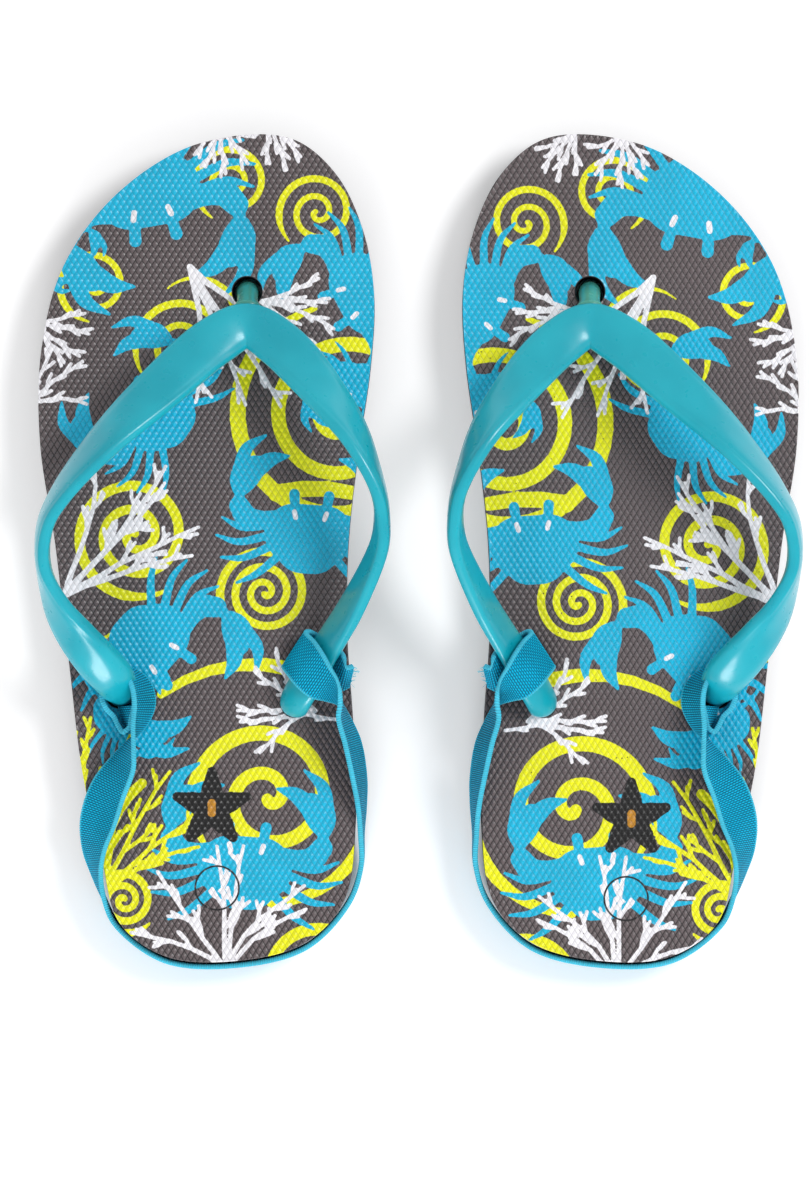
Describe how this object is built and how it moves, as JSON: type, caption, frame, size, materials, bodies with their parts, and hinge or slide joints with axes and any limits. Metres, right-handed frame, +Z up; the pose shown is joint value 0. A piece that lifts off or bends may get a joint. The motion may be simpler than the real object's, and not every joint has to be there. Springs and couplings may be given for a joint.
{
  "type": "pair of flip flops",
  "caption": "Pair of children's flip flops: printed foam soles, V-shaped moulded straps with toe posts, and woven elastic heel straps that swing up.",
  "frame": {"origin": "middle of the pair's footprint, elastics included, on the ground", "axes": "+Z up, +Y towards the toes, +X towards the right sandal; the pair is mirrored in the plane x = 0"},
  "size_m": [0.1846, 0.2032, 0.0453],
  "materials": {
    "printed_foam": "matt foam with a small embossed diamond pattern and a printed sea pattern",
    "dark_foam": "matt foam",
    "strap_pvc": "soft moulded plastic with a satin gloss",
    "post_pvc": "soft moulded plastic, slightly see-through",
    "plug_pvc": "soft moulded plastic, satin",
    "elastic": "woven elastic with fine ribs and a lighter selvedge",
    "thread": "zigzag sewing thread"
  },
  "bodies": {
    "left_sandal": {"left_footbed": "printed_foam", "left_outsole": "dark_foam", "left_thong_strap": "strap_pvc", "left_toe_post": "post_pvc", "left_toe_plug": "plug_pvc", "left_medial_plug": "plug_pvc", "left_lateral_plug": "plug_pvc", "left_medial_loop": "elastic", "left_lateral_loop": "elastic", "left_medial_bar_tack": "thread", "left_lateral_bar_tack": "thread"},
    "left_heel_strap": {"left_heel_band": "elastic"},
    "right_sandal": {"right_footbed": "printed_foam", "right_outsole": "dark_foam", "right_thong_strap": "strap_pvc", "right_toe_post": "post_pvc", "right_toe_plug": "plug_pvc", "right_medial_plug": "plug_pvc", "right_lateral_plug": "plug_pvc", "right_medial_loop": "elastic", "right_lateral_loop": "elastic", "right_medial_bar_tack": "thread", "right_lateral_bar_tack": "thread"},
    "right_heel_strap": {"right_heel_band": "elastic"}
  },
  "joints": [
    {"name": "left_heel_strap_swing", "type": "hinge", "parent": "left_sandal", "child": "left_heel_strap", "pos_m": [-0.04415, -0.04334, 0.0218], "axis": [-0.9887, -0.1498, 0], "range_deg": [0, 110]},
    {"name": "sandal_spacing", "type": "slide", "parent": "left_sandal", "child": "right_sandal", "axis": [1, 0, 0], "range_m": [0, 0.1]},
    {"name": "right_heel_strap_swing", "type": "hinge", "parent": "right_sandal", "child": "right_heel_strap", "pos_m": [0.04415, -0.04334, 0.0218], "axis": [-0.9887, 0.1498, 0], "range_deg": [0, 110]}
  ]
}
